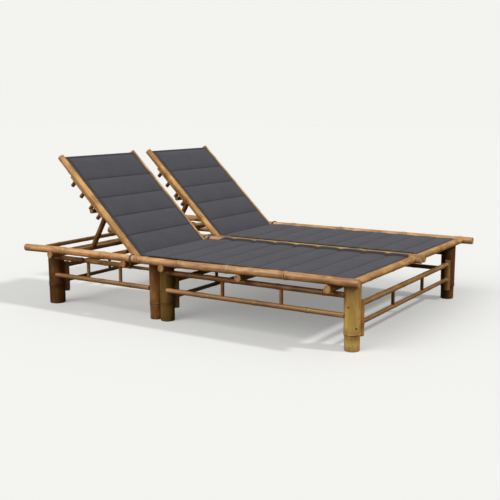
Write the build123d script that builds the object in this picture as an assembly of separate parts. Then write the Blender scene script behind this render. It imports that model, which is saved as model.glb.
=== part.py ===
from build123d import *
import math
import os

# Double sun lounger in bamboo: one low bed of poles for two people, with two
# backrests that tilt on their own, each propped by a strut in a row of pegs.
# X runs from the head end (-) to the foot end (+), -Y is the near side, +Z is up.
# The origin is on the ground, in the middle of the length and the width.

# Overall sizes, in millimetres
LENGTH = 2000
WIDTH = 1400
RAIL_TOP = 334
SEAT = 0.3              # gap left where one piece rests on another

# Bamboo: a low ridge at each node of the rails, and flat sides on the short bars and the thin canes
NODE_RISE = 1.6
NODE_REACH = 7
BAR_SIDES = 24
CANE_SIDES = 12

# Long rails: one at each side and two side by side along the middle
RAIL_R = 19
CENTRE_GAP = 2
NEAR_RAIL_SHORT = 38    # how much shorter than the longest rail, at the foot end
CENTRE_RAIL_SHORT = 22
RAIL_NODE_SHARES = {
    "near": (0.28, 0.52, 0.82),
    "centre_near": (0.55,),
    "centre_far": (0.4,),
    "far": (0.6,),
}

# End rails: short poles butted between the long rails
FOOT_RAIL_X = 938
FOOT_RAIL_R = 17
HEAD_RAIL_X = -859
HEAD_RAIL_R = 11

# Cross beams that the rails rest on, from head to foot
BEAM_R = 18
BEAM_X = (-812, -308, -71, 369, 821)
BEAM_SHORT = 4          # how far a beam end stays inside the overall width

# Legs: four a side, the two in the middle standing close together
LEG_IN = 80.4           # how far the leg centres lie inside the centres of the side rails
LEG_TOP_UNDER = 2       # how far a leg top stays below the underside of the rails
HEAD_LEG_X = -864
HEAD_LEG_R = 43
MID_LEG_X = -109
MID_LEG_R = 37
TWIN_LEG_R = 33
FOOT_LEG_X = 895
FOOT_LEG_R = 38
LEG_STEP = 2.5          # how much slimmer a leg is below its node
LEG_NODE_Z = {"head": 103, "twin": 74, "mid": 101, "foot": 70}

# Side bars with upright spindles, between the legs of one side
SIDE_BAR_OUT = 25       # how far outside the leg centres the bars lie
UPPER_BAR_R = 13
LOWER_BAR_R = 12
LOWER_BAR_Z = 157
HEAD_UPPER_RISE = 8     # the head end's upper bars lie higher than the foot end's
THIN_BAR_R = 8
SPLIT_FROM_X = -642     # the head end's upper bar is in two pieces with a gap here
SPLIT_TO_X = -618
SIDE_SPINDLE_R = 9
SIDE_SPINDLE_X = (-606, -388, 238, 556)

# Cross ladders: two bars across the bed between posts on the legs
LADDER_FORWARD = 15     # how far towards the foot end of the leg centres they stand
POST_R = 16
POST_FOOT_Z = 57
POST_TOP_Z = 216
LADDER_UPPER_Z = 198
LADDER_UPPER_R = 13
LADDER_LOWER_Z = 115
LADDER_LOWER_R = 10.5
LADDER_SPINDLE_R = 8.5
LADDER_SPINDLE_Y = (-195, 175)

# Seat canes: thin poles lying lengthwise on the beams under the pads
CANE_R = 10
SEAT_CANES = 10
SEAT_CANE_OVER = 4      # how far the canes run past the middle of the hinge beam

# Backrests
HINGE_X = -273
BACK_ANGLE = 44         # lean from level, in degrees
POLE_R = 17
POLE_TOP = 680          # pole length above the hinge
OUTER_POLE_GAP = 9.4    # room between an outer pole and its rail
INNER_POLE_GAP = 18     # room between an inner pole and the middle rail beside it
BACK_CANES = 10
FIRST_BACK_CANE = 60
LAST_BACK_CANE = 645
PIVOT_R = 6
PIVOT_PLAY = 0.08
PIVOT_PAST_POLE = 4
PIVOT_IN_RAIL = 5       # how far a pivot pin passes the middle of an outer rail

# Peg racks under the backrest poles
RACK_R = 6
RACK_FROM = 272
RACK_TO = 562
PEG_R = 10.5
PEG_TIP = 52            # how far below the pole centres the pegs reach
PEG_AT = (296, 362, 446, 525)

# Struts that prop the backrests, and the axle bars that they stand on
STRUT_BAR_R = 12
STRUT_NOTCH = 1         # which peg the bar leans against, counted from the hinge
STRUT_BAR_PLAY = 0.5
STRUT_BAR_OVER = 18     # how far the bar ends stand out past the pole centres
STRUT_LEG_R = 14
STRUT_LEG_IN = 114      # how far inside the pole centres the strut legs are
AXLE_X = -669
AXLE_Z = 304
AXLE_R = 13
FOOT_PLAY = 0.4
FOOT_CUT_ANGLE = 60     # lean of the slanting foot of a strut leg, from its length

# Quilted pads
PAD_CROWN = 22          # thickness in the middle of a panel
PAD_SEAM = 14           # thickness in the middle of a seam
PAD_SIDE = 15           # thickness at the side of a panel
PAD_SEAM_SIDE = 10      # thickness at the side of a seam
PAD_DRAW = 7            # how far the sides draw in at each seam
PAD_ALONG_SHARES = ((0, 0), (0.12, 0.6), (0.3, 0.92), (0.5, 1), (0.7, 0.92), (0.88, 0.6), (1, 0))
PAD_ACROSS_SHARES = ((1, 0), (0.95, 0.5), (0.82, 0.85), (0.6, 1))
PAD_GAP = 2.2           # room beside and at the foot of a pad
PANEL = 128
SEAT_PAD_FROM_X = -245
SEAT_WHOLE_PANELS = 7
SEAT_LAST_PANEL = 106
BACK_PAD_FROM = -4
BACK_PAD_TO = 667
BACK_WHOLE_PANELS = 3
BACK_FIRST_PANEL = 118

# Tie cords wound round the rails beside the hinge, with a start beside the pad and a hanging tail
TIE_R = 1.75
TIE_SIDES = 5
TIE_PITCH = 5
TIE_TURNS = 2
TIE_ARC_SHARE = 0.45    # radius at a corner, as a share of its shorter run
TIE_PAST_PIN = 4        # room between the pivot pin and the windings on its foot side
TIE_BEFORE_PIN = 12     # where the winding on its head side starts, from the pin
TIE_START_RISE = 3      # height of a cord's start above the rail centres
TIE_TAIL = 5            # how far a tail hangs below the winding
TIE_PROBES = 400        # points on a cord between which its gap to itself is measured

# Sizes that follow
RAIL_Z = RAIL_TOP - RAIL_R
RAIL_Y = WIDTH / 2 - RAIL_R - NODE_RISE
CENTRE_Y = RAIL_R + CENTRE_GAP / 2
HEAD_END = -LENGTH / 2
BEAM_Z = RAIL_Z - RAIL_R - SEAT - BEAM_R
BEAM_END = WIDTH / 2 - BEAM_SHORT
LEG_Y = RAIL_Y - LEG_IN
LEG_TOP = RAIL_Z - RAIL_R - LEG_TOP_UNDER
TWIN_LEG_X = MID_LEG_X - MID_LEG_R - TWIN_LEG_R - SEAT
UPPER_BAR_Z = BEAM_Z - BEAM_R - SEAT - UPPER_BAR_R
HEAD_UPPER_Z = UPPER_BAR_Z + HEAD_UPPER_RISE
THIN_BAR_Z = BEAM_Z - BEAM_R - SEAT - THIN_BAR_R
SIDE_BAR_Y = LEG_Y + SIDE_BAR_OUT
CANE_Z = BEAM_Z + BEAM_R + SEAT + CANE_R
OUTER_POLE_Y = RAIL_Y - RAIL_R - OUTER_POLE_GAP - POLE_R
INNER_POLE_Y = CENTRE_Y + RAIL_R + INNER_POLE_GAP + POLE_R
BAY_Y = (OUTER_POLE_Y + INNER_POLE_Y) / 2
CANE_REACH = OUTER_POLE_Y - BAY_Y - POLE_R - 2 * CANE_R
CANE_STEP = 2 * CANE_REACH / (SEAT_CANES - 1)
RACK_N = -(POLE_R + SEAT + RACK_R)
TIE_ROOM = RAIL_R + SEAT + TIE_R
STRUT_BAR_AT = PEG_AT[STRUT_NOTCH] - PEG_R - STRUT_BAR_PLAY - STRUT_BAR_R
STRUT_BAR_N = RACK_N - RACK_R - STRUT_BAR_PLAY - STRUT_BAR_R
COS_BACK = math.cos(math.radians(BACK_ANGLE))
SIN_BACK = math.sin(math.radians(BACK_ANGLE))
SIDES = {"near": -1, "far": 1}


def along(start, end):
    """A plane at the start of a pole, its Z along the pole."""
    run = Vector(*end) - Vector(*start)
    side = Vector(0, 0, 1) if run.Y else Vector(0, 1, 0)
    return Plane(origin=start, x_dir=side, z_dir=run.normalized()), run.length


def pole(start, end, radius):
    """A round pole from start to end."""
    plane, length = along(start, end)
    return plane * Cylinder(radius, length, align=(Align.CENTER, Align.CENTER, Align.MIN))


def noded_pole(start, end, radius, node_shares):
    """A thick round pole with a low ridge at each of its bamboo nodes."""
    plane, length = along(start, end)
    outline = [(0, 0), (radius, 0)]
    for share in node_shares:
        at = share * length
        outline += [(radius, at - NODE_REACH), (radius + NODE_RISE, at), (radius, at + NODE_REACH)]
    outline += [(radius, length), (0, length)]
    profile = Plane.XZ * make_face(Polyline(*outline, close=True))
    return plane * revolve(profile, Axis.Z)


def cane(start, end, radius, sides=CANE_SIDES):
    """A thin pole with flat sides, its edges turned towards what it rests on."""
    plane, length = along(start, end)
    return plane * extrude(RegularPolygon(radius, sides), length)


def bar(start, end, radius):
    return cane(start, end, radius, BAR_SIDES)


def bore(start, end, radius):
    """A plain round cutter from start to end."""
    run = Vector(*end) - Vector(*start)
    return Plane(origin=start, z_dir=run.normalized()) * Cylinder(
        radius, run.length, align=(Align.CENTER, Align.CENTER, Align.MIN)
    )


def largest(shape):
    """The biggest solid of a cut, without the slivers that coping leaves."""
    return max(shape.solids(), key=lambda solid: solid.volume)


def on_back(t, y, n):
    """A point of the raised backrest: t up the poles, y across, n above their centres."""
    x = HINGE_X - t * COS_BACK + n * SIN_BACK
    z = RAIL_Z + t * SIN_BACK + n * COS_BACK
    return (x, y, z)


def back_plane(y, t, n):
    """A plane lying on the raised backrest, its X up the poles."""
    return Plane(origin=on_back(t, y, n), x_dir=(-COS_BACK, 0, SIN_BACK), z_dir=(SIN_BACK, 0, COS_BACK))


def rail_length(name):
    short = {"near": NEAR_RAIL_SHORT, "far": 0}.get(name, CENTRE_RAIL_SHORT)
    return LENGTH - short


def rail_y(name):
    return {"near": -RAIL_Y, "centre_near": -CENTRE_Y, "centre_far": CENTRE_Y, "far": RAIL_Y}[name]


def rail(name):
    """One long rail, drilled for its pivot pin."""
    y = rail_y(name)
    foot_end = HEAD_END + rail_length(name)
    body = noded_pole((HEAD_END, y, RAIL_Z), (foot_end, y, RAIL_Z), RAIL_R, RAIL_NODE_SHARES[name])
    if name in SIDES:
        low, high = sorted((SIDES[name] * (RAIL_Y - 2 * RAIL_R), SIDES[name] * (RAIL_Y + PIVOT_IN_RAIL)))
    else:
        low, high = y - RAIL_R - SEAT, y + RAIL_R + SEAT
    return body - bore((HINGE_X, low, RAIL_Z), (HINGE_X, high, RAIL_Z), PIVOT_R + PIVOT_PLAY)


def rail_room(name):
    """The space that a rail takes, a little larger, for coping what butts against it."""
    y = rail_y(name)
    return bore((HEAD_END, y, RAIL_Z), (-HEAD_END, y, RAIL_Z), RAIL_R + SEAT)


def end_rail(side, x, radius):
    """A pole across one lounger, its ends coped to the long rails."""
    sign = SIDES[side]
    low, high = sorted((sign * CENTRE_Y, sign * RAIL_Y))
    body = pole((x, low, RAIL_Z), (x, high, RAIL_Z), radius)
    return largest(body - rail_room(side) - rail_room("centre_" + side))


def beam(x):
    """A pole across the whole bed."""
    return pole((x, -BEAM_END, BEAM_Z), (x, BEAM_END, BEAM_Z), BEAM_R)


def beam_room(x):
    return bore((x, -BEAM_END, BEAM_Z), (x, BEAM_END, BEAM_Z), BEAM_R + SEAT)


LEGS = {
    "head": (HEAD_LEG_X, HEAD_LEG_R),
    "twin": (TWIN_LEG_X, TWIN_LEG_R),
    "mid": (MID_LEG_X, MID_LEG_R),
    "foot": (FOOT_LEG_X, FOOT_LEG_R),
}


def leg(side, name):
    """A thick leg, slimmer below its node, with a saddle in its top for a beam that meets it."""
    x, radius = LEGS[name]
    node = LEG_NODE_Z[name]
    slim = radius - LEG_STEP
    outline = [(0, 0), (slim, 0), (slim, node), (radius, node), (radius, LEG_TOP), (0, LEG_TOP)]
    body = revolve(Plane.XZ * make_face(Polyline(*outline, close=True)), Axis.Z)
    body = Pos(x, SIDES[side] * LEG_Y, 0) * body
    for beam_x in BEAM_X:
        if abs(beam_x - x) < radius + BEAM_R + SEAT:
            body -= beam_room(beam_x)
    return largest(body)


def leg_room(side, name):
    x, radius = LEGS[name]
    y = SIDES[side] * LEG_Y
    return bore((x, y, 0), (x, y, LEG_TOP), radius + SEAT)


def side_bar(side, x_from, x_to, z, radius, legs):
    """A lengthwise bar, coped to the legs at its ends and notched for the beams that cross it."""
    y = SIDES[side] * SIDE_BAR_Y
    body = pole((x_from, y, z), (x_to, y, z), radius)
    for name in legs:
        body -= leg_room(side, name)
    for x in BEAM_X:
        if x_from < x + BEAM_R and x - BEAM_R < x_to:
            body -= beam_room(x)
    return largest(body)


def head_upper_bars(side):
    """The head end's upper side bar: two pieces with a gap, and a thinner one to the middle legs."""
    return [
        side_bar(side, HEAD_LEG_X, SPLIT_FROM_X, HEAD_UPPER_Z, UPPER_BAR_R, ["head"]),
        side_bar(side, SPLIT_TO_X, BEAM_X[1], HEAD_UPPER_Z, UPPER_BAR_R, []),
        side_bar(side, BEAM_X[1] + SEAT, TWIN_LEG_X, THIN_BAR_Z, THIN_BAR_R, ["twin"]),
    ]


def side_spindles(side):
    """Short uprights between the lower and the upper side bar."""
    spindles = []
    for x in SIDE_SPINDLE_X:
        upper_z = HEAD_UPPER_Z if x < TWIN_LEG_X else UPPER_BAR_Z
        y = SIDES[side] * SIDE_BAR_Y
        low, high = LOWER_BAR_Z + LOWER_BAR_R + SEAT, upper_z - UPPER_BAR_R - SEAT
        spindles.append(cane((x, y, low), (x, y, high), SIDE_SPINDLE_R))
    return spindles


def ladder_place(name):
    """Where the posts of one ladder stand: touching the legs, a little towards the foot end."""
    x, radius = LEGS[name]
    reach = radius + POST_R + SEAT
    inward = math.sqrt(reach ** 2 - LADDER_FORWARD ** 2)
    return x + LADDER_FORWARD, LEG_Y - inward


def ladder_posts():
    posts = []
    for name in ("head", "mid", "foot"):
        x, y = ladder_place(name)
        for sign in SIDES.values():
            posts.append(bar((x, sign * y, POST_FOOT_Z), (x, sign * y, POST_TOP_Z), POST_R))
    return posts


def ladder_bar(name, z, radius):
    """A bar across the bed, coped to the posts at both ends."""
    x, y = ladder_place(name)
    body = pole((x, -y, z), (x, y, z), radius)
    for sign in SIDES.values():
        body -= bore((x, sign * y, POST_FOOT_Z), (x, sign * y, POST_TOP_Z), POST_R + SEAT)
    return largest(body)


def ladder_spindles():
    spindles = []
    for name in ("head", "mid", "foot"):
        x, _ = ladder_place(name)
        low, high = LADDER_LOWER_Z + LADDER_LOWER_R + SEAT, LADDER_UPPER_Z - LADDER_UPPER_R - SEAT
        for y in LADDER_SPINDLE_Y:
            spindles.append(cane((x, y, low), (x, y, high), LADDER_SPINDLE_R))
    return spindles


def seat_canes(side):
    """Thin poles lying lengthwise on the beams, from the hinge beam to the foot rail."""
    canes = []
    foot_end = FOOT_RAIL_X - FOOT_RAIL_R - SEAT
    for index in range(SEAT_CANES):
        y = SIDES[side] * (BAY_Y - CANE_REACH + index * CANE_STEP)
        canes.append(cane((BEAM_X[1] - SEAT_CANE_OVER, y, CANE_Z), (foot_end, y, CANE_Z), CANE_R))
    return canes


def backrest_pole(side, y):
    """A side pole of a backrest, drilled for its pivot pin near the lower end."""
    y = SIDES[side] * y
    body = pole(on_back(-POLE_R, y, 0), on_back(POLE_TOP, y, 0), POLE_R)
    pin = bore((HINGE_X, y - 2 * POLE_R, RAIL_Z), (HINGE_X, y + 2 * POLE_R, RAIL_Z), PIVOT_R + PIVOT_PLAY)
    return largest(body - pin)


def back_canes(side):
    """Thin poles across a backrest, butted between its side poles."""
    canes = []
    reach = POLE_R + SEAT
    low, high = sorted((SIDES[side] * (INNER_POLE_Y + reach), SIDES[side] * (OUTER_POLE_Y - reach)))
    step = (LAST_BACK_CANE - FIRST_BACK_CANE) / (BACK_CANES - 1)
    for index in range(BACK_CANES):
        t = FIRST_BACK_CANE + index * step
        canes.append(cane(on_back(t, low, 0), on_back(t, high, 0), CANE_R))
    return canes


def rack(side):
    """The two toothed racks of one backrest: a thin bar under each pole, with four pegs."""
    pieces = []
    for pole_y in (INNER_POLE_Y, OUTER_POLE_Y):
        y = SIDES[side] * pole_y
        pieces.append(cane(on_back(RACK_FROM, y, RACK_N), on_back(RACK_TO, y, RACK_N), RACK_R))
        root = RACK_N - RACK_R - SEAT
        for t in PEG_AT:
            pieces.append(cane(on_back(t, y, root), on_back(t, y, -PEG_TIP), PEG_R))
    return pieces


def pivot_pins():
    """Pins through the rails that the backrest poles turn on, the middle one shared."""
    inner = INNER_POLE_Y + POLE_R + PIVOT_PAST_POLE
    outer = OUTER_POLE_Y - POLE_R - PIVOT_PAST_POLE
    into_rail = RAIL_Y + PIVOT_IN_RAIL - SEAT
    spans = ((-into_rail, -outer), (-inner, inner), (outer, into_rail))
    return [bore((HINGE_X, low, RAIL_Z), (HINGE_X, high, RAIL_Z), PIVOT_R) for low, high in spans]


def strut_bar(side):
    """The strut's top bar, lying in a notch of both racks."""
    inner, outer = INNER_POLE_Y - STRUT_BAR_OVER, OUTER_POLE_Y + STRUT_BAR_OVER
    low, high = sorted((SIDES[side] * inner, SIDES[side] * outer))
    start, end = on_back(STRUT_BAR_AT, low, STRUT_BAR_N), on_back(STRUT_BAR_AT, high, STRUT_BAR_N)
    return bar(start, end, STRUT_BAR_R)


def strut_legs(side):
    """Two legs from the top bar down to the axle bar, saddled above and cut slanting below."""
    legs = []
    top_x, _, top_z = on_back(STRUT_BAR_AT, 0, STRUT_BAR_N)
    run = Vector(AXLE_X - top_x, 0, AXLE_Z - top_z).normalized()
    slant = run.rotate(Axis.Y, 180 - FOOT_CUT_ANGLE)
    for pole_y, inward in ((INNER_POLE_Y, 1), (OUTER_POLE_Y, -1)):
        y = SIDES[side] * (pole_y + inward * STRUT_LEG_IN)
        body = bar((top_x, y, top_z), (AXLE_X, y, AXLE_Z), STRUT_LEG_R)
        low, high = y - 2 * STRUT_LEG_R, y + 2 * STRUT_LEG_R
        body -= bore((top_x, low, top_z), (top_x, high, top_z), STRUT_BAR_R + SEAT)
        size = 8 * STRUT_LEG_R
        block = Box(size, size, size, align=(Align.CENTER, Align.MAX, Align.CENTER))
        sole = Plane(origin=(AXLE_X, y, AXLE_Z), x_dir=slant, z_dir=(0, 1, 0))
        legs.append(largest(body - sole * Pos(0, AXLE_R + FOOT_PLAY, 0) * block))
    return legs


def axle(side):
    """The bar across one lounger that its strut stands on, its ends coped to the rails."""
    low, high = sorted((SIDES[side] * CENTRE_Y, SIDES[side] * RAIL_Y))
    body = pole((AXLE_X, low, AXLE_Z), (AXLE_X, high, AXLE_Z), AXLE_R)
    return largest(body - rail_room(side) - rail_room("centre_" + side))


def pad_section(x, swell):
    """The outline of a pad cut across, where swell is 0 in a seam and 1 in the middle of a panel."""
    side = PAD_SEAM_SIDE + swell * (PAD_SIDE - PAD_SEAM_SIDE)
    crown = PAD_SEAM + swell * (PAD_CROWN - PAD_SEAM)
    return x, side, crown, (1 - swell) * PAD_DRAW


def pad_outline(width, station):
    """A flat underside, upright sides and a low arch above, in straight strips."""
    x, side, crown, draw = station
    reach = width / 2 - draw
    arch = [(reach * out, side + rise * (crown - side)) for out, rise in PAD_ACROSS_SHARES]
    points = [(-reach, 0), (reach, 0), *arch, *[(-y, z) for y, z in reversed(arch)]]
    across = Plane(origin=(x, 0, 0), x_dir=(0, 1, 0), z_dir=(1, 0, 0))
    return across * make_face(Polyline(*points, close=True))


def quilted_pad(width, seams):
    """A thin pad lying along X, each panel swelling between its seams, the sides drawn in at each seam."""
    panels = []
    for start, end in zip(seams, seams[1:]):
        stations = [pad_section(start + (end - start) * at, swell) for at, swell in PAD_ALONG_SHARES]
        panels.append(loft([pad_outline(width, station) for station in stations], ruled=True))
    return largest(panels[0].fuse(*panels[1:]))


def seat_pad(side):
    """The seat half of a pad, from the hinge fold to the foot rail."""
    length = FOOT_RAIL_X - FOOT_RAIL_R - PAD_GAP - SEAT_PAD_FROM_X
    last = length - SEAT_LAST_PANEL
    seams = [last - PANEL * index for index in range(SEAT_WHOLE_PANELS, -1, -1)]
    width = RAIL_Y - CENTRE_Y - 2 * RAIL_R - 2 * PAD_GAP
    middle = SIDES[side] * (RAIL_Y + CENTRE_Y) / 2
    return Pos(SEAT_PAD_FROM_X, middle, CANE_Z + CANE_R + SEAT) * quilted_pad(width, [0, *seams, length])


def back_pad(side):
    """The back half of a pad, lying on the canes of the backrest."""
    length = BACK_PAD_TO - BACK_PAD_FROM
    seams = [BACK_FIRST_PANEL + PANEL * index for index in range(BACK_WHOLE_PANELS + 1)]
    width = OUTER_POLE_Y - INNER_POLE_Y - 2 * POLE_R - 2 * PAD_GAP
    plane = back_plane(SIDES[side] * BAY_Y, BACK_PAD_FROM, CANE_R + SEAT)
    return plane * quilted_pad(width, [0, *seams, length])


def winding(middle_y, across, from_x, turns):
    """The corners of a cord wound round what lies across from middle_y, and its two ends."""
    corners = ((-across, TIE_ROOM), (across, TIE_ROOM), (across, -TIE_ROOM), (-across, -TIE_ROOM))
    count = len(corners) * turns + 2
    route = [(from_x, middle_y - across, RAIL_Z + TIE_START_RISE)]
    for index in range(count):
        y, z = corners[index % len(corners)]
        route.append((from_x + index * TIE_PITCH / len(corners), middle_y + y, RAIL_Z + z))
    route.append((route[-1][0], middle_y + across, RAIL_Z - TIE_ROOM - TIE_TAIL))
    return [Vector(*point) for point in route]


def tie_path(route):
    """Straight runs along the route, each corner rounded as far as its runs allow."""
    radii = []
    for before, corner, after in zip(route, route[1:], route[2:]):
        arriving, leaving = corner - before, after - corner
        half_turn = math.radians(arriving.get_angle(leaving)) / 2
        radii.append(TIE_ARC_SHARE * min(arriving.length, leaving.length) / math.tan(half_turn))
    return FilletPolyline(*route, radius=radii), radii


def least_gap(path):
    """The smallest gap between two turns of one cord."""
    points = [path @ (index / TIE_PROBES) for index in range(TIE_PROBES + 1)]
    apart = math.ceil(TIE_ROOM / (path.length / TIE_PROBES))
    pairs = ((a, b) for i, a in enumerate(points) for b in points[i + apart:])
    return min((a - b).length for a, b in pairs) - 2 * TIE_R


def pad_ties():
    """Four cords: one round each outer rail, and two round the pair of middle rails."""
    foot_side = HINGE_X + PIVOT_R + TIE_PAST_PIN
    head_side = HINGE_X - PIVOT_R - TIE_BEFORE_PIN
    both = CENTRE_Y + TIE_ROOM
    routes = [winding(sign * RAIL_Y, sign * TIE_ROOM, foot_side, TIE_TURNS - 1) for sign in SIDES.values()]
    routes += [winding(0, both, foot_side, TIE_TURNS), winding(0, both, head_side, TIE_TURNS - 1)]
    cords = []
    for route in routes:
        path, radii = tie_path(route)
        section = Plane(origin=path @ 0, z_dir=path % 0) * RegularPolygon(TIE_R, TIE_SIDES)
        cords.append(sweep(section, path))
        print("tie cord: length", round(path.length), "least gap", round(least_gap(path), 2),
              "radii", round(min(radii), 1), "to", round(max(radii), 1))
    return cords


def write(name, pieces):
    """One file for a node, which holds one solid or a group of separate solids."""
    solids = [solid for piece in pieces for solid in piece.solids()]
    shape = solids[0] if len(solids) == 1 else Compound(children=solids)
    export_step(shape, os.path.join("parts", name + ".step"))


def write_bed():
    for name in RAIL_NODE_SHARES:
        write("rail_" + name, [rail(name)])
    for index, x in enumerate(BEAM_X, start=1):
        write(f"cross_beam_{index}", [beam(x)])
    for name in ("head", "mid", "foot"):
        write(f"ladder_{name}_upper_bar", [ladder_bar(name, LADDER_UPPER_Z, LADDER_UPPER_R)])
        write(f"ladder_{name}_lower_bar", [ladder_bar(name, LADDER_LOWER_Z, LADDER_LOWER_R)])
    write("ladder_posts", ladder_posts())
    write("ladder_spindles", ladder_spindles())
    write("strut_axles", [axle(side) for side in SIDES])
    write("pivot_pins", pivot_pins())
    write("pad_ties", pad_ties())


def write_side(side):
    write("foot_rail_" + side, [end_rail(side, FOOT_RAIL_X, FOOT_RAIL_R)])
    write("head_rail_" + side, [end_rail(side, HEAD_RAIL_X, HEAD_RAIL_R)])
    for name in LEGS:
        write(f"leg_{name}_{side}", [leg(side, name)])
    write("side_bar_head_upper_" + side, head_upper_bars(side))
    head_lower = side_bar(side, HEAD_LEG_X, TWIN_LEG_X, LOWER_BAR_Z, LOWER_BAR_R, ["head", "twin"])
    write("side_bar_head_lower_" + side, [head_lower])
    foot_upper = side_bar(side, MID_LEG_X, FOOT_LEG_X, UPPER_BAR_Z, UPPER_BAR_R, ["mid", "foot"])
    write("side_bar_foot_upper_" + side, [foot_upper])
    foot_lower = side_bar(side, MID_LEG_X, FOOT_LEG_X, LOWER_BAR_Z, LOWER_BAR_R, ["mid", "foot"])
    write("side_bar_foot_lower_" + side, [foot_lower])
    write("side_spindles_" + side, side_spindles(side))
    write("seat_canes_" + side, seat_canes(side))
    write("seat_pad_" + side, [seat_pad(side)])


def write_backrest(side):
    write("backrest_outer_pole_" + side, [backrest_pole(side, OUTER_POLE_Y)])
    write("backrest_inner_pole_" + side, [backrest_pole(side, INNER_POLE_Y)])
    write("backrest_canes_" + side, back_canes(side))
    write("peg_rack_" + side, rack(side))
    write("back_pad_" + side, [back_pad(side)])
    write("strut_bar_" + side, [strut_bar(side)])
    write("strut_legs_" + side, strut_legs(side))


os.makedirs("parts", exist_ok=True)
write_bed()
for side_name in SIDES:
    write_side(side_name)
    write_backrest(side_name)
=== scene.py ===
import math
import random

import bpy
from mathutils import Matrix, Vector


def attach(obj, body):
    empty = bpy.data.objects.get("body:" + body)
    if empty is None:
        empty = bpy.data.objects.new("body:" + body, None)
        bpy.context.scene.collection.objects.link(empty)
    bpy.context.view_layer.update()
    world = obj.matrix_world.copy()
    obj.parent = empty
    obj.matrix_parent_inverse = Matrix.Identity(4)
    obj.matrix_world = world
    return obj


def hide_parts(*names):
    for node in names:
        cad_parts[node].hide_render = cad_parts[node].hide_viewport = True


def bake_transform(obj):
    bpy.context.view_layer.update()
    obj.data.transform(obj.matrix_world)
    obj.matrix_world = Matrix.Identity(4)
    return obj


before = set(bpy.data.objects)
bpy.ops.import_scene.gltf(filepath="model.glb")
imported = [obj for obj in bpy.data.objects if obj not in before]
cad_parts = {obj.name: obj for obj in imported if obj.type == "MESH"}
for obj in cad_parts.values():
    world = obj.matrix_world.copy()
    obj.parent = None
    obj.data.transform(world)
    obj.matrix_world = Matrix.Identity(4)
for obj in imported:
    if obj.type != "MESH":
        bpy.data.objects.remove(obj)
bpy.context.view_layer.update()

SIDES = {"near": -1, "far": 1}

# The camera of the photograph
CAMERA_AT = (2.4022, -3.7695, 1.0285)
CAMERA_AZIMUTH = math.radians(32.59)
CAMERA_PITCH = math.radians(9.57)
CAMERA_ROLL = math.radians(-0.22)
LENS = 60.126
VIEW_REACH = 100

# Sizes of the bed, in metres, as in the source of the part
RAIL_Z = 0.315
RAIL_R = 0.019
RAIL_Y = 0.6794
CENTRE_Y = 0.020
HEAD_END = -1.0
BEAM_Z = 0.2777
BEAM_R = 0.018
BEAM_END = 0.696
BEAM_X = (-0.812, -0.308, -0.071, 0.369, 0.821)
LEG_Y = 0.599
LEG_TOP = 0.294
UPPER_BAR_Z = 0.2464
HEAD_UPPER_Z = 0.2544
THIN_BAR_Z = 0.2514
LOWER_BAR_Z = 0.157
SIDE_BAR_Y = 0.624
SIDE_SPINDLE_X = (-0.606, -0.388, 0.238, 0.556)
LADDER_UPPER_Z = 0.198
LADDER_LOWER_Z = 0.115
LADDER_FORWARD = 0.015
LADDER_SPINDLE_Y = (-0.195, 0.175)
POST_FOOT_Z = 0.057
POST_TOP_Z = 0.216
POST_R = 0.016
CANE_Z = 0.306
CANE_R = 0.010
CANES = 10
FOOT_RAIL_X = 0.938
HEAD_RAIL_X = -0.859
BAY_Y = 0.354
CANE_REACH = 0.243
HINGE_X = -0.273
BACK_ANGLE = math.radians(44)
POLE_R = 0.017
POLE_TOP = 0.680
OUTER_POLE_Y = 0.634
INNER_POLE_Y = 0.074
RACK_N = -0.0233
RACK_FROM = 0.272
RACK_TO = 0.562
PEG_AT = (0.296, 0.362, 0.446, 0.525)
PEG_TIP_N = -0.052
STRUT_BAR_AT = 0.339
STRUT_BAR_N = -0.0418
STRUT_BAR_OVER = 0.018
STRUT_LEG_IN = 0.114
AXLE_X = -0.669
AXLE_Z = 0.304

# Radii of the culms, each a hair under that of its solid
FOOT_RAIL_R = 0.0168
HEAD_RAIL_R = 0.0109
AXLE_R = 0.0128
UPPER_BAR_R = 0.0128
LOWER_BAR_R = 0.0118
THIN_BAR_R = 0.0078
SIDE_SPINDLE_R = 0.0088
LADDER_UPPER_R = 0.0128
LADDER_LOWER_R = 0.0103
LADDER_SPINDLE_R = 0.0083
RACK_R = 0.0058
PEG_R = 0.0102
STRUT_BAR_R = 0.0118
STRUT_LEG_R = 0.0138
UNDER = 0.0002          # how far rails, beams, posts and poles stay under their solids
UNDER_MORE = 0.0003     # and how far legs and canes do
BUTT = 0.010            # from a butted end to the centre of the piece that it meets


def on_back(t, y, n):
    """A point of the raised backrest: t up the poles, y across, n above their centres."""
    x = HINGE_X - t * math.cos(BACK_ANGLE) + n * math.sin(BACK_ANGLE)
    z = RAIL_Z + t * math.sin(BACK_ANGLE) + n * math.cos(BACK_ANGLE)
    return Vector((x, y, z))


def lengthwise(y, z, low, high):
    """The two ends of a pole along the bed."""
    return (low, y, z), (high, y, z)


def crosswise(x, z, low, high):
    """The two ends of a pole across the bed."""
    return (x, low, z), (x, high, z)


def upright(x, y, low, high):
    """The two ends of a standing pole."""
    return (x, y, low), (x, y, high)


def smooth(value):
    """A soft step from 0 to 1, level beyond both."""
    value = min(max(value, 0), 1)
    return value * value * (3 - 2 * value)


def rgb(red, green, blue):
    """The linear colour of an ordinary screen colour."""
    values = [channel / 255 for channel in (red, green, blue)]
    return tuple(v / 12.92 if v < 0.04045 else ((v + 0.055) / 1.055) ** 2.4 for v in values)


def deselect():
    bpy.ops.object.select_all(action="DESELECT")


def choose(obj):
    """Makes one object the selected and active one."""
    deselect()
    obj.select_set(True)
    bpy.context.view_layer.objects.active = obj


def edit_faces(obj):
    choose(obj)
    bpy.ops.object.mode_set(mode="EDIT")
    bpy.ops.mesh.select_mode(type="FACE")


def leave_edit():
    bpy.ops.object.mode_set(mode="OBJECT")


def apply_modifier(obj, modifier):
    choose(obj)
    bpy.ops.object.modifier_apply(modifier=modifier.name)


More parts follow.
